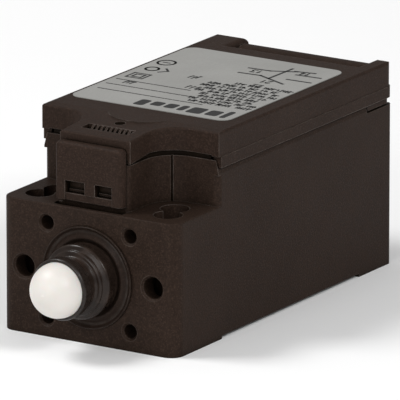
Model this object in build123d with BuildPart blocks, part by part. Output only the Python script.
from build123d import *
import os

# Limit switch with a plain plunger, plastic body 30 x 60 mm with two fixing holes.
# X runs across the body, +Y from the plunger towards the cable entry, +Z up from the mounting face.
# The origin is midway between the two fixing holes of 20 mm pitch, on the mounting face.

# --- body ---------------------------------------------------------------------------------------
width = 30.0
length = 60.0
face_y = -7.7                          # front face of the head
rear_y = face_y + length
head_height = 20.0
head_corner_radius = 2.1
rear_corner_radius = 1.2
head_edge_radius = 0.25
rim_z = 24.6                           # top of the full-width part of the base
neck_top_z = 26.9                      # top of the wall that the cover closes over
neck_inset = 1.2
neck_wall = 1.2
neck_rear_y = face_y + 52.4
ledge_top_z = 25.65                    # slanted step that fills the groove under the lip
ledge_top_half = 14.78
slant_z = 24.9                         # where the slant of the step and of the wings starts
ledge_rear_y = neck_rear_y + 0.15
wing_top_half = 14.5                   # the pocket's rear wall runs out to the sides in thin wings
wing_thickness = 0.25
body_corner_radius = 1.0
pocket_back_y = face_y + 11.55         # wall behind the fixing holes
tongue_x = -0.25                       # middle of the block between the two pockets
tongue_half = 5.85
tongue_corner_radius = 0.6
tongue_front_y = face_y + 2.3
pocket_corner_radius = 4.6
cavity_front_y = face_y + 14.0
cavity_rear_y = neck_rear_y - neck_wall
floor_z = 2.2
tongue_wall = 1.2
tongue_floor_z = 21.2
foot_recess = 0.5                      # underside between the two feet
foot_front_y = face_y + 12.5
foot_rear_y = face_y + 50.5
mould_groove = 0.3                    # width and depth of the mould line down a pocket's wall
mould_groove_x = 7.55
mould_groove_room = 1.0                # how far its cutter stands out in front of the wall
rail_margin = 0.3

# --- fixing and head holes ----------------------------------------------------------------------
fixing_radius = 2.15
fixing_pitch_rear = 20.0
fixing_pitch_front = 22.0
fixing_front_y = -3.4
axis_z = 10.0                          # height of the plunger's axis
head_screw_pitch = 14.2
head_screw_radius = 1.08
head_screw_depth = 5.0
side_hole_pitch = 22.0
side_hole_radius = 1.65
side_hole_depth = 12.5
hole_mouth = 0.3
hole_mouth_angle = 90

# --- cable entry and hinge ----------------------------------------------------------------------
entry_radius = 7.25                    # core of an M16 thread
entry_z = 12.3
entry_chamfer = 0.6
hinge_y = face_y + 57.7
hinge_z = 27.4
deck_z = 24.0                          # top of the base behind the neck, below the hinge
deck_half = 14.15
bracket_radius = 3.2
bracket_left_x = -9.8
bracket_right_x = 12.2
pin_radius = 1.0
pin_recess = 0.2                       # how deep the pin's open end lies in the ear
pin_chamfer = 0.2
running_gap = 0.05
press_gap = 0.02

# --- cover --------------------------------------------------------------------------------------
cover_half = 15.2
cover_z = 31.2
cover_inner_z = 29.7
seam_z = 27.7
lip_top_z = 27.5
skirt_z = 25.8
lip_proud = 0.1
lip_setback = 0.55
cover_pocket_y = face_y + 11.35
cover_tongue_half = 6.0
cover_tongue_y = face_y + 2.45
cover_wall = 2.4
cover_front_wall = 1.2
tongue_room_z = 29.4
tongue_room_y = face_y + 8.6
skirt_inner_x = 13.95
cover_rear_y = face_y + 53.3
cover_edge_radius = 0.3                # rounding of the top edge around the pockets
side_edge_radius = 0.4                 # rounding of the top edge along the sides
beak_wall = 0.45                       # the tongue's sides, which reach lower towards the front
beak_drop = 0.6
beak_end_y = face_y + 7.9
ear_rear_y = face_y + 59.6
ear_corner_radius = 1.6
ear_top_radius = 1.2
ear_end_radius = 0.9                   # rounding of the ears' inner ends
ear_left_x = -10.0
ear_right_x = 12.4
ear_wall = 1.0
cheek_half = 14.05                     # half width over the discs inside the ears
cheek_radius = 3.2
lip_rear_y = ear_rear_y + 0.2
valance_x = (14.2, 14.85)              # strip under the lip that closes the gap beside the hinge
valance_y = (45.25, 50.8)
valance_z = 24.85
tongue_drop = 0.7                      # how far the tongue's top slopes down to the front
slope_start_y = face_y + 13.0
slope_room = 1.0
thumb_x = 0.3
thumb_radius = 6.0
thumb_y = face_y + 16.0
thumb_depth = 1.0
grip_x = -0.27
grip_half = 4.0
grip_front_y = face_y + 4.95
grip_rear_y = face_y + 7.0
grip_floor_z = 28.6
grip_rib = 0.35
grip_rib_step = 0.78
grip_rib_count = 9
grip_rib_front_y = grip_rear_y - 0.65
grip_rib_front_z = 30.2                # a rib's top rises to the rear
grip_rib_rear_z = 30.7
dimple_x = -0.2
dimple_radius = 0.8
dimple_y = face_y + 9.0
dimple_floor_z = 30.3

# --- cover latch --------------------------------------------------------------------------------
latch_x = -0.5
latch_half = 5.72
latch_front_y = face_y + 1.0
latch_thickness = 1.2
latch_bottom_z = 20.75
latch_top_z = 29.35
latch_left_radius = 0.45
latch_right_radius = 0.9
latch_top_radius = 0.7
latch_pivot_y = face_y + 3.2
latch_pivot_z = 28.6
latch_pivot_radius = 0.55
latch_pivot_half = 4.6
latch_web = (-0.35, 0.55)              # height of the web between the flap and its bead
latch_web_overlap = 0.2
pivot_room = (2.0, 1.4)                # slot in the cover for the web, along Y and in height
pivot_room_below = 2.4
pivot_room_end = 0.15
window_bottom_z = 21.8
window_top_z = 23.65
window_spans = ((-4.53, -1.17), (0.56, 3.48))
latch_bar_back = 0.55                  # how much thinner the bar under the windows is
latch_bar_front = 0.15
catch_depth = 0.45
catch_height = 0.4
catch_side_gap = 0.2
catch_gap = 0.1
latch_pocket_depth = 1.2
latch_pocket_side = 0.25
latch_pocket_front = 0.3

# --- plunger ------------------------------------------------------------------------------------
tip_y = -19.6                          # end of the free plunger, from the fixing holes
tip_radius = 4.1
tip_base_length = 1.15
collar_radius = 4.6
collar_length = 1.85
collar_edge_radius = 0.35
collar_wall_gap = 0.08
collar_disc = 0.6
rod_radius = 1.5
rod_in_tip = 3.5
rod_in_carrier = 2.0
rod_end_gap = 0.1
rod_chamfer = 0.2
bush_radius = 3.5
bush_flange_radius = 5.0
bush_flange = 1.3
bush_front_y = face_y + 0.3
boot_recess_radius = 6.4
boot_recess_depth = 1.6
boot_gap = 0.05
boot_outer_steps = (                   # distance in front of the head and radius, from the collar
    (5.5, 4.15),
    (4.1, 4.1),
    (3.85, 4.65),
    (3.6, 4.85),
    (3.35, 4.9),
    (3.1, 5.3),
    (2.9, 5.55),
    (2.55, 5.6),
    (1.4, 5.3),
    (0.75, 5.3),
    (0.5, 5.75),
    (0.35, 6.05),
    (0.2, 6.45),
    (0.2, 7.05),
    (0.4, 7.3),
    (0.5, 7.5),
    (0.35, 7.62),
    (0.0, 7.62),
)
boot_inner_steps = (
    (-0.2, 5.25),
    (0.1, 4.6),
    (2.7, 4.6),
    (3.3, 3.4),
)
stroke = 4.0

# --- contact block ------------------------------------------------------------------------------
rail_inner_x = 5.5
rail_outer_x = 12.3
rail_top_z = 5.0
block_half = 12.2
block_front_y = face_y + 16.0
block_rear_y = face_y + 45.5
block_top_z = 14.5
block_floor_z = 6.0
block_wall = 1.5
block_gap = 0.05
channel_half = 4.05
slot_half = 6.8
slot_floor_z = 8.0
shelf_z = 12.7
barrier_half = 0.5
barrier_top_z = 16.0
block_rod_gap = 0.3
carrier_half = 3.8
carrier_low_z = 6.15
carrier_high_z = 13.85
carrier_gap = 0.1
carrier_front_y = block_front_y + block_wall + carrier_gap
carrier_length = 19.0
carrier_chamfer = 0.3
bridge_thickness = 0.8
bridge_half = 6.4
bridge_low_z = 8.5
bridge_high_z = 11.5
bridge_corner = 0.5
nc_bridge_y = face_y + 22.7            # middle of the normally closed bridge
no_bridge_y = face_y + 30.4            # middle of the normally open bridge
window_length = 4.6
window_gap = 0.1
rivet_radius = 0.9
rivet_height = 0.6
rivet_x = 5.4
contact_gap = 0.03
full_stroke_gap = 0.1                  # left between the normally open contacts at full stroke
plate_thickness = 0.8
plate_length = 6.7
plate_inner_x = 4.45
plate_outer_x = 12.0
tab_outer_x = 6.4
tab_low_z = 8.4
screw_x = 9.3
screw_from_tab = 3.7
screw_shank_radius = 1.45
screw_head_radius = 2.4
screw_head_height = 1.5
screw_head_chamfer = 0.25
screw_length = 5.5
screw_hole_gap = 0.1
screw_end_gap = 0.2
drive_slot = (0.6, 0.7)                # width and depth of a screw's slot
washer_size = 5.2
washer_thickness = 0.8
block_screw_x = 9.0
block_screw_y = face_y + 18.1
block_screw_seat_z = 9.0
block_screw_head_radius = 1.95
block_screw_head_height = 1.6
block_screw_head_gap = 0.15
block_screw_radius = 1.2
block_screw_depth_z = 2.0
spring_end_gap = 0.05
return_spring_radius = 2.6
return_spring_wire = 0.3
return_spring_turns = 5
return_spring_seat = 1.0               # depth of its seat in the carrier
return_spring_gap = 0.15
contact_spring_radius = 1.2
contact_spring_wire = 0.2
contact_spring_turns = 4

# --- label and gasket ---------------------------------------------------------------------------
label_left_x = -14.3
label_right_x = 12.9
label_front_y = face_y + 16.9
label_rear_y = face_y + 50.0
label_thickness = 0.12
label_corner_radius = 1.75
gasket_outer_inset = 0.3
gasket_inner_inset = 0.9

head_centre = Plane(origin=(0, face_y, axis_z), x_dir=(1, 0, 0), z_dir=(0, -1, 0))
near = 0.01                            # half width of the band in which edges are looked for
os.makedirs("parts", exist_ok=True)


def save(builder, name):
    """Label a finished piece and write it to its own file."""
    builder.part.label = name
    export_step(builder.part, "parts/" + name + ".step")


def rectangle_face(x_low, x_high, y_low, y_high, z):
    """A rectangle on the level z, given by its sides."""
    with BuildSketch(Plane.XY.offset(z)) as sketch:
        with Locations(((x_low + x_high) / 2, (y_low + y_high) / 2)):
            Rectangle(x_high - x_low, y_high - y_low)
    return sketch.sketch


def across_plane(y):
    """A plane across the body at y, centred on the plunger's axis and facing the rear."""
    return Plane(origin=(0, y, axis_z), x_dir=(1, 0, 0), z_dir=(0, 1, 0))


def profile_plane(x, y=0, z=0):
    """A plane that looks along X; its first direction is +Y and its second +Z."""
    return Plane(origin=(x, y, z), x_dir=(0, 1, 0), z_dir=(1, 0, 0))


def body_outline(z, half, back_y, end_y, inner_half, front_y, outer_radius=0.0, front_radius=0.0):
    """The plan of the upper body: a box with a tongue in front and a round pocket on each side of it."""
    with BuildSketch(Plane.XY.offset(z)) as sketch:
        with Locations((0, (back_y + end_y) / 2)):
            Rectangle(2 * half, end_y - back_y)
        with Locations((tongue_x, (front_y + back_y) / 2)):
            Rectangle(2 * inner_half, back_y - front_y)
        row = sketch.vertices().filter_by_position(Axis.Y, back_y - near, back_y + near)
        by_side = row.sort_by(lambda corner: abs(corner.X))
        if outer_radius > 0:
            fillet(by_side[2:], outer_radius)
        row = sketch.vertices().filter_by_position(Axis.Y, back_y - near, back_y + near)
        fillet(row.sort_by(lambda corner: abs(corner.X))[:2], pocket_corner_radius)
        if front_radius > 0:
            fillet(sketch.vertices().group_by(Axis.Y)[0], front_radius)
    return sketch.sketch


def neck_outline(z, inset):
    """The plan of the wall that stands inside the cover, drawn in by the given inset."""
    return body_outline(
        z,
        width / 2 - neck_inset - inset,
        pocket_back_y + inset,
        neck_rear_y - inset,
        tongue_half - inset,
        tongue_front_y + inset,
        front_radius=tongue_corner_radius,
    )


def rounding_face(plane, corner, inward, radius):
    """What a rounding takes away from a square corner; inward gives the corner's two directions."""
    with BuildSketch(plane) as sketch:
        with Locations(corner):
            Rectangle(2 * radius, 2 * radius)
        with Locations((corner[0] + inward[0] * radius, corner[1] + inward[1] * radius)):
            Circle(radius, mode=Mode.SUBTRACT)
    return sketch.sketch


def slotted_screw(x, y, seat_z, head_radius, head_height, shank_radius, end_z):
    """A cheese-head screw that stands on seat_z, with its slot across the head."""
    with BuildPart() as screw:
        with BuildSketch(Plane.XY.offset(seat_z)):
            with Locations((x, y)):
                Circle(head_radius)
        extrude(amount=head_height)
        chamfer(screw.edges().group_by(Axis.Z)[-1], screw_head_chamfer)
        with BuildSketch(Plane.XY.offset(seat_z)):
            with Locations((x, y)):
                Circle(shank_radius)
        extrude(amount=end_z - seat_z)
        with BuildSketch(Plane.XY.offset(seat_z + head_height)):
            with Locations((x, y)):
                Rectangle(drive_slot[0], 2 * head_radius)
        extrude(amount=-drive_slot[1], mode=Mode.SUBTRACT)
    return screw.part


def coil_spring(start_y, end_y, radius, wire, turns):
    """A compression spring along Y on the plunger's axis."""
    height = end_y - start_y - 2 * wire
    path = across_plane(start_y + wire) * Helix(pitch=height / turns, height=height, radius=radius)
    with BuildPart() as spring:
        with BuildSketch(Plane(origin=path @ 0, z_dir=path % 0)):
            Circle(wire)
        sweep(path=path, is_frenet=True)
    return spring.part


# --- base housing: head, wiring box, hinge bracket and catch teeth ------------------------------
body_plan = body_outline(
    0, width / 2, pocket_back_y, rear_y, tongue_half, tongue_front_y, body_corner_radius,
    tongue_corner_radius,
)
with BuildPart() as base_housing:
    head = rectangle_face(-width / 2, width / 2, face_y, pocket_back_y + 2 * body_corner_radius, 0)
    extrude(to_extrude=head, amount=head_height)
    fillet(base_housing.edges().filter_by(Axis.Z).group_by(Axis.Y)[0], head_corner_radius)
    head_top = base_housing.edges().group_by(Axis.Z)[-1]
    fillet(head_top.sort_by(Axis.Y)[:-1], head_edge_radius)
    extrude(to_extrude=body_plan, amount=rim_z)
    fillet(base_housing.edges().filter_by(Axis.Z).group_by(Axis.Y)[-1], rear_corner_radius)
    extrude(to_extrude=neck_outline(rim_z, 0), amount=neck_top_z - rim_z)

    # slanted step along both sides under the cover's lip, and wings that close the lip's front ends
    for top_half, top_z, front_y, end_y in (
        (ledge_top_half, ledge_top_z, pocket_back_y + wing_thickness, ledge_rear_y),
        (wing_top_half, neck_top_z, pocket_back_y, pocket_back_y + wing_thickness),
    ):
        with BuildSketch(Plane(origin=(0, front_y, 0), x_dir=(1, 0, 0), z_dir=(0, -1, 0))):
            for side in (-1, 1):
                inner_x = side * (width / 2 - neck_inset - neck_wall)
                with BuildLine():
                    Polyline(
                        (inner_x, rim_z),
                        (side * width / 2, rim_z),
                        (side * width / 2, slant_z),
                        (side * top_half, top_z),
                        (inner_x, top_z),
                        close=True,
                    )
                make_face()
        extrude(amount=front_y - end_y)

    # wiring box, open upwards, and the hollow of the tongue
    box_half = width / 2 - neck_inset - neck_wall
    cavity = rectangle_face(-box_half, box_half, cavity_front_y, cavity_rear_y, floor_z)
    extrude(to_extrude=cavity, amount=neck_top_z - floor_z, mode=Mode.SUBTRACT)
    hollow_half = tongue_half - tongue_wall
    hollow = rectangle_face(
        tongue_x - hollow_half, tongue_x + hollow_half, tongue_front_y + tongue_wall, cavity_front_y,
        tongue_floor_z,
    )
    extrude(to_extrude=hollow, amount=neck_top_z - tongue_floor_z, mode=Mode.SUBTRACT)

    # rails that carry the contact block
    for side in (-1, 1):
        rail_x = sorted((side * rail_inner_x, side * (rail_outer_x + rail_margin)))
        rail = rectangle_face(rail_x[0], rail_x[1], cavity_front_y, block_rear_y, floor_z)
        extrude(to_extrude=rail, amount=rail_top_z - floor_z)
    with BuildSketch(Plane.XY.offset(rail_top_z)):
        with Locations((-block_screw_x, block_screw_y), (block_screw_x, block_screw_y)):
            Circle(block_screw_radius + press_gap)
    extrude(amount=block_screw_depth_z - rail_top_z - press_gap, mode=Mode.SUBTRACT)

    # lower deck behind the neck and the bracket that the cover hinges on
    deck = rectangle_face(-deck_half, deck_half, neck_rear_y, rear_y, deck_z)
    extrude(to_extrude=deck, amount=rim_z - deck_z, mode=Mode.SUBTRACT)
    with BuildSketch(profile_plane(bracket_left_x)):
        with Locations((hinge_y, hinge_z)):
            Circle(bracket_radius)
        with Locations((hinge_y, (deck_z + hinge_z) / 2)):
            Rectangle(2 * bracket_radius, hinge_z - deck_z)
        with Locations((rear_y + bracket_radius, hinge_z)):
            Rectangle(2 * bracket_radius, 4 * bracket_radius, mode=Mode.SUBTRACT)
    extrude(amount=bracket_right_x - bracket_left_x)
    with BuildSketch(profile_plane(bracket_left_x)):
        with Locations((hinge_y, hinge_z)):
            Circle(pin_radius + running_gap)
    extrude(amount=bracket_right_x - bracket_left_x, mode=Mode.SUBTRACT)

    # fixing holes: each is two round holes that run into each other
    with BuildSketch(Plane.XY):
        with Locations((-fixing_pitch_rear / 2, 0), (fixing_pitch_rear / 2, 0)):
            Circle(fixing_radius)
        with Locations((-fixing_pitch_front / 2, fixing_front_y), (fixing_pitch_front / 2, fixing_front_y)):
            Circle(fixing_radius)
    extrude(amount=head_height, mode=Mode.SUBTRACT)

    # front face: boot recess, bush bore, four screw holes and two larger side holes
    with BuildSketch(head_centre):
        Circle(boot_recess_radius)
    extrude(amount=-boot_recess_depth, mode=Mode.SUBTRACT)
    with BuildSketch(head_centre):
        Circle(bush_radius + press_gap)
    extrude(amount=face_y - cavity_front_y, mode=Mode.SUBTRACT)
    with Locations(head_centre):
        with GridLocations(head_screw_pitch, head_screw_pitch, 2, 2):
            CounterSinkHole(
                head_screw_radius, head_screw_radius + hole_mouth, head_screw_depth, hole_mouth_angle
            )
        with GridLocations(side_hole_pitch, 0, 2, 1):
            CounterSinkHole(
                side_hole_radius, side_hole_radius + hole_mouth, side_hole_depth, hole_mouth_angle
            )

    # cable entry through the rear wall
    with BuildSketch(across_plane(rear_y)):
        with Locations((0, axis_z - entry_z)):
            Circle(entry_radius)
    extrude(amount=cavity_rear_y - rear_y, mode=Mode.SUBTRACT)
    entry_mouth = base_housing.edges().filter_by(GeomType.CIRCLE).sort_by(Axis.Y)[-1]
    chamfer(entry_mouth, entry_chamfer)

    # recess under the body between its two feet
    underside = rectangle_face(-width / 2, width / 2, foot_front_y, foot_rear_y, 0)
    extrude(to_extrude=underside, amount=foot_recess, mode=Mode.SUBTRACT)

    # pocket in the shelf below the latch, and the two catch teeth in front of the tongue
    latch_pocket_half = latch_half + latch_pocket_side
    latch_pocket = rectangle_face(
        latch_x - latch_pocket_half, latch_x + latch_pocket_half, latch_front_y - latch_pocket_front,
        tongue_front_y, head_height,
    )
    extrude(to_extrude=latch_pocket, amount=-latch_pocket_depth, mode=Mode.SUBTRACT)
    for low_x, high_x in window_spans:
        tooth = rectangle_face(
            low_x + catch_side_gap, high_x - catch_side_gap, tongue_front_y - catch_depth, tongue_front_y,
            window_bottom_z + catch_gap,
        )
        extrude(to_extrude=tooth, amount=catch_height)

    # fine mould line down the round wall of each pocket
    for side in (-1, 1):
        line_x = side * mould_groove_x
        corner_x = tongue_x + side * (tongue_half + pocket_corner_radius)
        corner_reach = (pocket_corner_radius ** 2 - (corner_x - line_x) ** 2) ** 0.5
        wall_y = pocket_back_y - pocket_corner_radius + corner_reach
        groove = rectangle_face(
            line_x - mould_groove / 2, line_x + mould_groove / 2,
            wall_y - mould_groove_room, wall_y + mould_groove, head_height,
        )
        extrude(to_extrude=groove, amount=neck_top_z - head_height, mode=Mode.SUBTRACT)
save(base_housing, "base_housing")

# --- cover: lip along both sides, then lid with tongue, ears and latch groove -------------------
with BuildPart() as cover_lip:
    for side in (-1, 1):
        strip_x = sorted((side * skirt_inner_x, side * (cover_half + lip_proud)))
        strip = rectangle_face(
            strip_x[0], strip_x[1], cover_pocket_y + lip_setback, lip_rear_y, skirt_z
        )
        extrude(to_extrude=strip, amount=lip_top_z - skirt_z)
    for inner_x, outer_x in ((ear_left_x, -cover_half - lip_proud), (ear_right_x, cover_half + lip_proud)):
        heel_x = sorted((inner_x, outer_x))
        heel = rectangle_face(heel_x[0], heel_x[1], hinge_y, lip_rear_y, skirt_z)
        extrude(to_extrude=heel, amount=lip_top_z - skirt_z)
    lip_ends = cover_lip.edges().filter_by(Axis.Z).filter_by_position(
        Axis.Y, lip_rear_y - near, lip_rear_y + near
    )
    lip_corners = lip_ends.sort_by(lambda edge: abs(edge.center().X))[-2:]
    fillet(lip_corners, ear_corner_radius + lip_proud)

cover_plan = body_outline(
    seam_z, cover_half, cover_pocket_y, cover_rear_y, cover_tongue_half, cover_tongue_y
)
tongue_top_z = cover_z - tongue_drop
with BuildPart() as cover:
    extrude(to_extrude=cover_plan, amount=cover_z - seam_z)

    # side skirts and the ears that they run into
    for low_x, high_x in ((-cover_half, -skirt_inner_x), (skirt_inner_x, cover_half)):
        skirt = rectangle_face(low_x, high_x, cover_pocket_y, ear_rear_y, lip_top_z)
        extrude(to_extrude=skirt, amount=cover_z - lip_top_z)
    for low_x, high_x in ((-cover_half, ear_left_x), (ear_right_x, cover_half)):
        ear = rectangle_face(low_x, high_x, cover_rear_y - cover_wall, ear_rear_y, seam_z)
        extrude(to_extrude=ear, amount=cover_z - seam_z)

    # the tongue's top slopes down to the front
    with BuildSketch(profile_plane(-cover_half)):
        with BuildLine():
            Polyline(
                (slope_start_y, cover_z),
                (cover_tongue_y, tongue_top_z),
                (cover_tongue_y, cover_z + slope_room),
                (slope_start_y, cover_z + slope_room),
                close=True,
            )
        make_face()
    extrude(amount=2 * cover_half, mode=Mode.SUBTRACT)

    # rounded rear corners and rounded top edges
    ear_ends = cover.edges().filter_by(Axis.Z).filter_by_position(
        Axis.Y, ear_rear_y - near, ear_rear_y + near
    )
    ear_corners = ear_ends.sort_by(lambda edge: abs(edge.center().X))[-2:]
    fillet(ear_corners, ear_corner_radius)
    top_edges = cover.edges().filter_by_position(Axis.Z, tongue_top_z - near, cover_z + near)
    pocket_edges = top_edges.filter_by_position(Axis.Y, cover_tongue_y - near, cover_pocket_y + near)
    fillet(pocket_edges, cover_edge_radius)
    rear_rounding = rounding_face(
        profile_plane(-cover_half), (ear_rear_y, cover_z), (-1, -1), ear_top_radius
    )
    extrude(to_extrude=rear_rounding, amount=2 * cover_half, mode=Mode.SUBTRACT)
    ears_plane = Plane(origin=(0, cover_rear_y, 0), x_dir=(1, 0, 0), z_dir=(0, -1, 0))
    for inner_x, side in ((ear_left_x, -1), (ear_right_x, 1)):
        end_rounding = rounding_face(ears_plane, (inner_x, cover_z), (side, -1), ear_end_radius)
        extrude(to_extrude=end_rounding, amount=-length, mode=Mode.SUBTRACT)
    front_plane = Plane(origin=(0, cover_tongue_y, 0), x_dir=(1, 0, 0), z_dir=(0, -1, 0))
    for side in (-1, 1):
        side_rounding = rounding_face(
            front_plane, (side * cover_half, cover_z), (-side, -1), side_edge_radius
        )
        extrude(to_extrude=side_rounding, amount=-length, mode=Mode.SUBTRACT)
    add(cover_lip.part)

    # discs inside the ears, round about the hinge axis
    for low_x, high_x in ((-cheek_half, ear_left_x), (ear_right_x, cheek_half)):
        with BuildSketch(profile_plane(low_x)):
            with Locations((hinge_y, hinge_z)):
                Circle(cheek_radius)
            with Locations((ear_rear_y + cheek_radius, hinge_z)):
                Rectangle(2 * cheek_radius, 2 * cheek_radius, mode=Mode.SUBTRACT)
        extrude(amount=high_x - low_x)

    # sides of the tongue, which reach lower towards the front
    tongue_low_x = tongue_x - cover_tongue_half
    tongue_high_x = tongue_x + cover_tongue_half
    for low_x in (tongue_low_x, tongue_high_x - beak_wall):
        with BuildSketch(profile_plane(low_x)):
            with BuildLine():
                Polyline(
                    (cover_tongue_y, seam_z),
                    (cover_tongue_y, seam_z - beak_drop),
                    (beak_end_y, seam_z),
                    close=True,
                )
            make_face()
        extrude(amount=beak_wall)

    # strips that hide the hinge's room from the side
    for side in (-1, 1):
        strip_x = sorted((side * valance_x[0], side * valance_x[1]))
        valance = rectangle_face(strip_x[0], strip_x[1], valance_y[0], valance_y[1], valance_z)
        extrude(to_extrude=valance, amount=skirt_z - valance_z)

    # hollow under the lid
    room_half = width / 2 - cover_wall
    room = rectangle_face(-room_half, room_half, cavity_front_y, cover_rear_y - cover_wall, seam_z)
    extrude(to_extrude=room, amount=cover_inner_z - seam_z, mode=Mode.SUBTRACT)
    tongue_room = rectangle_face(
        tongue_low_x + cover_front_wall, tongue_high_x - cover_front_wall, tongue_room_y,
        cavity_front_y, seam_z,
    )
    extrude(to_extrude=tongue_room, amount=tongue_room_z - seam_z, mode=Mode.SUBTRACT)

    # a round pad stays level with the lid
    with BuildSketch(Plane.XY.offset(cover_z)):
        with Locations((thumb_x, thumb_y)):
            Circle(thumb_radius)
    extrude(amount=-thumb_depth)

    # grip: a deep slot with ribs down its rear wall, and a small dimple behind it
    grip = rectangle_face(
        grip_x - grip_half, grip_x + grip_half, grip_front_y, grip_rear_y, grip_floor_z
    )
    extrude(to_extrude=grip, amount=cover_z - grip_floor_z, mode=Mode.SUBTRACT)
    ribs_span = (grip_rib_count - 1) * grip_rib_step + grip_rib
    for index in range(grip_rib_count):
        rib_x = grip_x - ribs_span / 2 + index * grip_rib_step
        with BuildSketch(profile_plane(rib_x)):
            with BuildLine():
                Polyline(
                    (grip_rib_front_y, grip_floor_z),
                    (grip_rib_front_y, grip_rib_front_z),
                    (grip_rear_y, grip_rib_rear_z),
                    (grip_rear_y, grip_floor_z),
                    close=True,
                )
            make_face()
        extrude(amount=grip_rib)
    with BuildSketch(Plane.XY.offset(cover_z)):
        with Locations((dimple_x, dimple_y)):
            Circle(dimple_radius)
    extrude(amount=dimple_floor_z - cover_z, mode=Mode.SUBTRACT)

    # groove for the latch's bead along the front of the tongue
    pivot_plane = profile_plane(latch_x, latch_pivot_y, latch_pivot_z)
    with BuildSketch(pivot_plane):
        Circle(latch_pivot_radius + running_gap)
        with Locations((-pivot_room[0] / 2, 0)):
            Rectangle(pivot_room[0], pivot_room[1])
        with Locations((-pivot_room[0] / 2, -pivot_room_below / 2)):
            Rectangle(pivot_room[0], pivot_room_below)
    extrude(amount=latch_pivot_half + pivot_room_end, both=True, mode=Mode.SUBTRACT)

    # hole for the hinge pin, open on the left and blind on the right
    with BuildSketch(profile_plane(-cover_half, hinge_y, hinge_z)):
        Circle(pin_radius + press_gap)
    extrude(amount=2 * cover_half - ear_wall, mode=Mode.SUBTRACT)
save(cover, "cover")

# --- hinge pin ----------------------------------------------------------------------------------
with BuildPart() as hinge_pin:
    with BuildSketch(profile_plane(-cover_half + pin_recess, hinge_y, hinge_z)):
        Circle(pin_radius)
    extrude(amount=2 * cover_half - ear_wall - pin_recess - rod_end_gap)
    chamfer(hinge_pin.edges().filter_by(GeomType.CIRCLE), pin_chamfer)
save(hinge_pin, "hinge_pin")

# --- cover latch: flap with two windows, swinging on a bead along its top -----------------------
latch_back_y = latch_front_y + latch_thickness
with BuildPart() as cover_latch:
    panel = rectangle_face(
        latch_x - latch_half, latch_x + latch_half, latch_front_y, latch_back_y, latch_bottom_z
    )
    extrude(to_extrude=panel, amount=latch_top_z - latch_bottom_z)
    upright = cover_latch.edges().filter_by(Axis.Z).group_by(Axis.Y)[0].sort_by(Axis.X)
    fillet(upright[0], latch_left_radius)
    fillet(upright[1], latch_right_radius)
    top_front = cover_latch.edges().group_by(Axis.Z)[-1].filter_by(Axis.X).group_by(Axis.Y)[0]
    fillet(top_front, latch_top_radius)
    for low_x, high_x in window_spans:
        with BuildSketch(Plane(origin=(0, latch_front_y, 0), x_dir=(1, 0, 0), z_dir=(0, -1, 0))):
            with Locations(((low_x + high_x) / 2, (window_bottom_z + window_top_z) / 2)):
                Rectangle(high_x - low_x, window_top_z - window_bottom_z)
        extrude(amount=-latch_thickness, mode=Mode.SUBTRACT)
    bar_low_x = window_spans[0][0]
    bar_high_x = window_spans[1][1]
    bar_relief = rectangle_face(
        bar_low_x, bar_high_x, latch_back_y - latch_bar_back, latch_back_y, latch_bottom_z
    )
    extrude(to_extrude=bar_relief, amount=window_bottom_z - latch_bottom_z, mode=Mode.SUBTRACT)
    bar_front = rectangle_face(
        bar_low_x, bar_high_x, latch_front_y, latch_front_y + latch_bar_front, latch_bottom_z
    )
    extrude(to_extrude=bar_front, amount=window_bottom_z - latch_bottom_z, mode=Mode.SUBTRACT)
    with BuildSketch(pivot_plane):
        Circle(latch_pivot_radius)
        with Locations(((latch_back_y - latch_pivot_y) / 2, sum(latch_web) / 2)):
            Rectangle(latch_pivot_y - latch_back_y + latch_web_overlap, latch_web[1] - latch_web[0])
    extrude(amount=latch_pivot_half, both=True)
save(cover_latch, "cover_latch")

# --- gasket between base and cover --------------------------------------------------------------
with BuildPart() as cover_gasket:
    extrude(to_extrude=neck_outline(neck_top_z, gasket_outer_inset), amount=seam_z - neck_top_z)
    extrude(
        to_extrude=neck_outline(neck_top_z, gasket_inner_inset), amount=seam_z - neck_top_z,
        mode=Mode.SUBTRACT,
    )
save(cover_gasket, "cover_gasket")

# --- rating label -------------------------------------------------------------------------------
with BuildPart() as rating_label:
    with BuildSketch(Plane.XY.offset(cover_z)) as label_sketch:
        with Locations(((label_left_x + label_right_x) / 2, (label_front_y + label_rear_y) / 2)):
            Rectangle(label_right_x - label_left_x, label_rear_y - label_front_y)
        fillet(label_sketch.vertices(), label_corner_radius)
    extrude(amount=label_thickness)
save(rating_label, "rating_label")

# --- plunger: tip, collar, rod, bush and boot, all turned about the plunger's axis --------------
axis_plane = Plane(origin=(0, 0, axis_z), x_dir=(0, 1, 0), z_dir=(0, 0, 1))
plunger_axis = Axis((0, 0, axis_z), (0, 1, 0))
dome_y = tip_y + tip_radius
collar_front_y = dome_y
collar_rear_y = collar_front_y + collar_length
tip_base_y = dome_y + tip_base_length
with BuildPart() as plunger_tip:
    with BuildSketch(axis_plane):
        with BuildLine():
            Line((tip_y, 0), (tip_base_y, 0))
            Line((tip_base_y, 0), (tip_base_y, tip_radius))
            Line((tip_base_y, tip_radius), (dome_y, tip_radius))
            RadiusArc((dome_y, tip_radius), (tip_y, 0), -tip_radius)
        make_face()
    revolve(axis=plunger_axis)
    with BuildSketch(across_plane(tip_base_y)):
        Circle(rod_radius + press_gap)
    extrude(amount=-rod_in_tip, mode=Mode.SUBTRACT)
save(plunger_tip, "plunger_tip")

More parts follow.
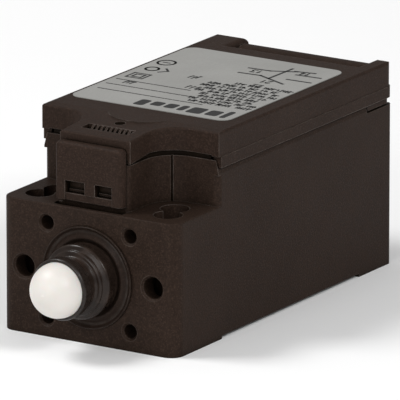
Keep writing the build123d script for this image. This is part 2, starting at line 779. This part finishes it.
collar_bore = tip_radius + collar_wall_gap
with BuildPart() as tip_collar:
    with BuildSketch(across_plane(collar_front_y)):
        Circle(collar_radius)
    extrude(amount=collar_length)
    fillet(tip_collar.edges().filter_by(GeomType.CIRCLE), collar_edge_radius)
    with BuildSketch(across_plane(collar_front_y)):
        Circle(collar_bore)
    extrude(amount=collar_length - collar_disc, mode=Mode.SUBTRACT)
    with BuildSketch(across_plane(collar_front_y)):
        Circle(rod_radius + press_gap)
    extrude(amount=collar_length, mode=Mode.SUBTRACT)
save(tip_collar, "tip_collar")

rod_front_y = tip_base_y - rod_in_tip + rod_end_gap
rod_rear_y = carrier_front_y + rod_in_carrier
with BuildPart() as plunger_rod:
    with BuildSketch(across_plane(rod_front_y)):
        Circle(rod_radius)
    extrude(amount=rod_rear_y - rod_front_y)
    chamfer(plunger_rod.edges().filter_by(GeomType.CIRCLE), rod_chamfer)
save(plunger_rod, "plunger_rod")

with BuildPart() as guide_bush:
    with BuildSketch(across_plane(bush_front_y)):
        Circle(bush_flange_radius)
    extrude(amount=bush_flange)
    with BuildSketch(across_plane(bush_front_y)):
        Circle(bush_radius)
    extrude(amount=cavity_front_y - bush_front_y)
    with BuildSketch(across_plane(bush_front_y)):
        Circle(rod_radius + running_gap)
    extrude(amount=cavity_front_y - bush_front_y, mode=Mode.SUBTRACT)
save(guide_bush, "guide_bush")

boot_spigot_y = face_y + boot_recess_depth - boot_gap
boot_outer = [(collar_rear_y, boot_outer_steps[0][1])]
boot_outer += [(face_y - ahead, radius) for ahead, radius in boot_outer_steps]
boot_outer += [(face_y, boot_recess_radius - boot_gap), (boot_spigot_y, boot_recess_radius - boot_gap)]
boot_inner = [(boot_spigot_y, boot_inner_steps[0][1])]
boot_inner += [(face_y - ahead, radius) for ahead, radius in boot_inner_steps]
boot_inner += [(collar_rear_y, boot_inner_steps[-1][1])]
with BuildPart() as rubber_boot:
    with BuildSketch(axis_plane):
        with BuildLine():
            Polyline(*boot_outer, *boot_inner, close=True)
        make_face()
    revolve(axis=plunger_axis)
save(rubber_boot, "rubber_boot")

# --- contact block: insulating frame with a channel for the carrier and four terminal places ----
nc_tab_rear_y = nc_bridge_y - bridge_thickness / 2 - 2 * rivet_height - contact_gap
no_tab_front_y = no_bridge_y + bridge_thickness / 2 + 2 * rivet_height + stroke + full_stroke_gap
nc_plate = (nc_tab_rear_y - plate_thickness, nc_tab_rear_y - plate_thickness + plate_length)
no_plate = (no_tab_front_y + plate_thickness - plate_length, no_tab_front_y + plate_thickness)
nc_screw_y = nc_tab_rear_y + screw_from_tab - plate_thickness
no_screw_y = no_tab_front_y - screw_from_tab + plate_thickness
with BuildPart() as contact_block:
    block = rectangle_face(-block_half, block_half, block_front_y, block_rear_y, rail_top_z)
    extrude(to_extrude=block, amount=block_top_z - rail_top_z)
    channel = rectangle_face(
        -channel_half, channel_half, block_front_y + block_wall, block_rear_y - block_wall, block_floor_z
    )
    extrude(to_extrude=channel, amount=block_top_z - block_floor_z, mode=Mode.SUBTRACT)
    sides = rectangle_face(
        -slot_half, slot_half, nc_plate[0] - block_gap, no_plate[1] + block_gap, slot_floor_z
    )
    extrude(to_extrude=sides, amount=block_top_z - slot_floor_z, mode=Mode.SUBTRACT)
    shelves = rectangle_face(
        -block_half, block_half, nc_plate[0] - block_gap, no_plate[1] + block_gap, shelf_z
    )
    extrude(to_extrude=shelves, amount=block_top_z - shelf_z, mode=Mode.SUBTRACT)
    barrier_y = (nc_plate[1] + no_plate[0]) / 2
    for side in (-1, 1):
        barrier_x = sorted((side * slot_half, side * block_half))
        barrier = rectangle_face(
            barrier_x[0], barrier_x[1], barrier_y - barrier_half, barrier_y + barrier_half, shelf_z
        )
        extrude(to_extrude=barrier, amount=barrier_top_z - shelf_z)
    with BuildSketch(across_plane(block_front_y)):
        Circle(rod_radius + block_rod_gap)
    extrude(amount=block_wall, mode=Mode.SUBTRACT)
    with BuildSketch(Plane.XY.offset(shelf_z)):
        for screw_y in (nc_screw_y, no_screw_y):
            with Locations((-screw_x, screw_y), (screw_x, screw_y)):
                Circle(screw_shank_radius + screw_hole_gap)
    extrude(amount=-screw_length, mode=Mode.SUBTRACT)
    with BuildSketch(Plane.XY.offset(block_top_z)):
        with Locations((-block_screw_x, block_screw_y), (block_screw_x, block_screw_y)):
            Circle(block_screw_head_radius + block_screw_head_gap)
    extrude(amount=block_screw_seat_z - block_top_z, mode=Mode.SUBTRACT)
    with BuildSketch(Plane.XY.offset(block_screw_seat_z)):
        with Locations((-block_screw_x, block_screw_y), (block_screw_x, block_screw_y)):
            Circle(block_screw_radius + screw_hole_gap)
    extrude(amount=rail_top_z - block_screw_seat_z, mode=Mode.SUBTRACT)
save(contact_block, "contact_block")

# --- contact carrier with a window for each bridge ----------------------------------------------
carrier_rear_y = carrier_front_y + carrier_length
with BuildPart() as contact_carrier:
    carrier = rectangle_face(-carrier_half, carrier_half, carrier_front_y, carrier_rear_y, carrier_low_z)
    extrude(to_extrude=carrier, amount=carrier_high_z - carrier_low_z)
    chamfer(contact_carrier.edges().group_by(Axis.Z)[-1], carrier_chamfer)
    with BuildSketch(across_plane(carrier_front_y)):
        Circle(rod_radius + press_gap)
    extrude(amount=rod_in_carrier, mode=Mode.SUBTRACT)
    for bridge_y in (nc_bridge_y, no_bridge_y):
        window_low = bridge_y - bridge_thickness / 2
        window = rectangle_face(
            -carrier_half, carrier_half, window_low, window_low + window_length,
            bridge_low_z - window_gap,
        )
        extrude(
            to_extrude=window, amount=bridge_high_z - bridge_low_z + 2 * window_gap, mode=Mode.SUBTRACT
        )
    with BuildSketch(across_plane(carrier_rear_y)):
        Circle(return_spring_radius + return_spring_wire + return_spring_gap)
    extrude(amount=-return_spring_seat, mode=Mode.SUBTRACT)
save(contact_carrier, "contact_carrier")

# --- contact bridges, their rivets and their springs --------------------------------------------
for name, bridge_y in (("nc", nc_bridge_y), ("no", no_bridge_y)):
    with BuildPart() as bridge:
        bar = rectangle_face(
            -bridge_half, bridge_half, bridge_y - bridge_thickness / 2, bridge_y + bridge_thickness / 2,
            bridge_low_z,
        )
        extrude(to_extrude=bar, amount=bridge_high_z - bridge_low_z)
        fillet(bridge.edges().filter_by(Axis.Y), bridge_corner)
    save(bridge, "contact_bridge_" + name)

with BuildPart() as bridge_rivets:
    for bridge_y, direction in ((nc_bridge_y, -1), (no_bridge_y, 1)):
        rivet_base = bridge_y + direction * bridge_thickness / 2
        rivet_plane = Plane(origin=(0, rivet_base, axis_z), x_dir=(1, 0, 0), z_dir=(0, direction, 0))
        with BuildSketch(rivet_plane):
            with GridLocations(2 * rivet_x, 0, 2, 1):
                Circle(rivet_radius)
        extrude(amount=rivet_height)
save(bridge_rivets, "bridge_rivets")

with BuildPart() as contact_springs:
    for bridge_y in (nc_bridge_y, no_bridge_y):
        spring_start = bridge_y + bridge_thickness / 2 + spring_end_gap
        spring_end = bridge_y - bridge_thickness / 2 + window_length - spring_end_gap
        add(
            coil_spring(
                spring_start, spring_end, contact_spring_radius, contact_spring_wire,
                contact_spring_turns,
            )
        )
save(contact_springs, "contact_springs")

with BuildPart() as return_spring:
    add(
        coil_spring(
            carrier_rear_y - return_spring_seat + spring_end_gap,
            block_rear_y - block_wall - spring_end_gap,
            return_spring_radius, return_spring_wire, return_spring_turns,
        )
    )
save(return_spring, "return_spring")

# --- fixed contacts: a terminal plate with a tab that hangs down beside the channel -------------
with BuildPart() as fixed_rivets:
    for tab_y, direction in ((nc_tab_rear_y, 1), (no_tab_front_y, -1)):
        rivet_plane = Plane(origin=(0, tab_y, axis_z), x_dir=(1, 0, 0), z_dir=(0, direction, 0))
        with BuildSketch(rivet_plane):
            with GridLocations(2 * rivet_x, 0, 2, 1):
                Circle(rivet_radius)
        extrude(amount=rivet_height)
save(fixed_rivets, "fixed_rivets")

terminals = (
    ("nc", nc_plate, nc_plate[0], nc_screw_y),
    ("no", no_plate, no_plate[1] - plate_thickness, no_screw_y),
)
for name, plate_span, tab_start_y, screw_y in terminals:
    for side, side_name in ((-1, "left"), (1, "right")):
        with BuildPart() as fixed_contact:
            plate_x = sorted((side * plate_inner_x, side * plate_outer_x))
            plate = rectangle_face(plate_x[0], plate_x[1], plate_span[0], plate_span[1], shelf_z)
            extrude(to_extrude=plate, amount=plate_thickness)
            tab_x = sorted((side * plate_inner_x, side * tab_outer_x))
            tab = rectangle_face(tab_x[0], tab_x[1], tab_start_y, tab_start_y + plate_thickness, tab_low_z)
            extrude(to_extrude=tab, amount=shelf_z - tab_low_z)
            with BuildSketch(Plane.XY.offset(shelf_z)):
                with Locations((side * screw_x, screw_y)):
                    Circle(screw_shank_radius + press_gap)
            extrude(amount=plate_thickness, mode=Mode.SUBTRACT)
        save(fixed_contact, "fixed_contact_" + name + "_" + side_name)

# --- terminal screws, clamp washers and the screws of the contact block -------------------------
plate_top_z = shelf_z + plate_thickness
screw_places = [(side * screw_x, place) for side in (-1, 1) for place in (nc_screw_y, no_screw_y)]
with BuildPart() as clamp_washers:
    with BuildSketch(Plane.XY.offset(plate_top_z)):
        with Locations(*screw_places):
            Rectangle(washer_size, washer_size)
            Circle(screw_shank_radius + press_gap, mode=Mode.SUBTRACT)
    extrude(amount=washer_thickness)
save(clamp_washers, "clamp_washers")

with BuildPart() as terminal_screws:
    for place_x, place_y in screw_places:
        seat_z = plate_top_z + washer_thickness
        add(
            slotted_screw(
                place_x, place_y, seat_z, screw_head_radius, screw_head_height, screw_shank_radius,
                shelf_z + screw_end_gap - screw_length,
            )
        )
save(terminal_screws, "terminal_screws")

with BuildPart() as block_screws:
    for side in (-1, 1):
        add(
            slotted_screw(
                side * block_screw_x, block_screw_y, block_screw_seat_z, block_screw_head_radius,
                block_screw_head_height, block_screw_radius, block_screw_depth_z,
            )
        )
save(block_screws, "block_screws")
